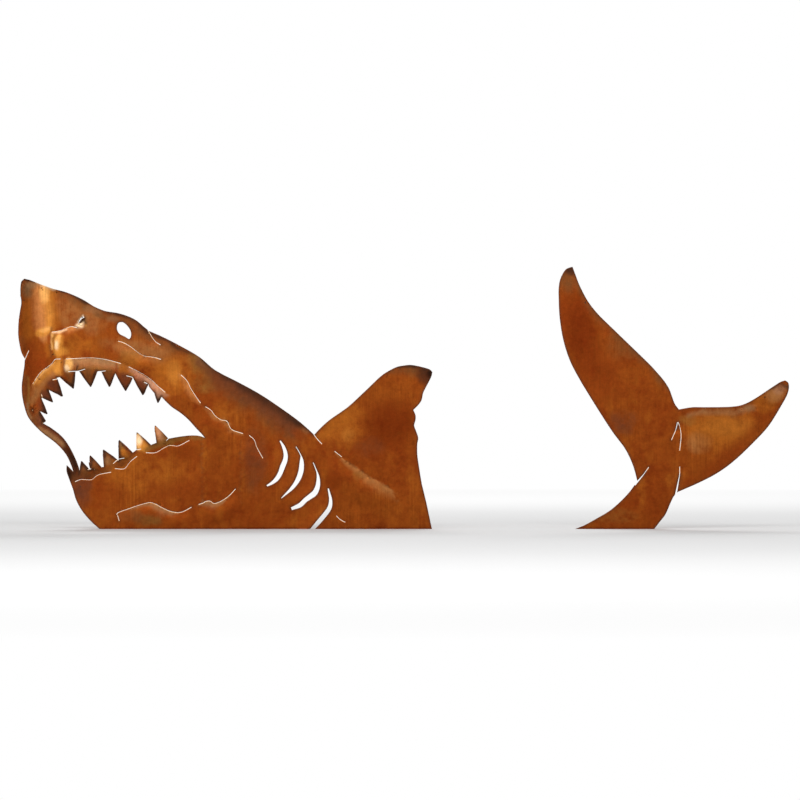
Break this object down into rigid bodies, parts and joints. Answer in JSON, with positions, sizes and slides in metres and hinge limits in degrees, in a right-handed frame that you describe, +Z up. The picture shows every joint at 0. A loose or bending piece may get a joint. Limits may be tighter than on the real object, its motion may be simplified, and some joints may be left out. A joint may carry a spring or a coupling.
{
  "type": "shark garden sculpture",
  "caption": "Garden sculpture of a shark breaking the surface: rusted sheet-steel silhouettes of its open-jawed head and back with the fin, and of its tail, set upright in the ground.",
  "frame": {"origin": "middle of the head's ground edge, in the sheet's middle plane, at ground level", "axes": "+X along the sheets, from the snout towards the tail; -Y out of the fronts; +Z up"},
  "size_m": [1.6978, 0.0331, 0.5773],
  "materials": {
    "weathering_steel": "rusted"
  },
  "bodies": {
    "root": {"shark_head": "weathering_steel", "shark_tail": "weathering_steel"}
  },
  "joints": []
}
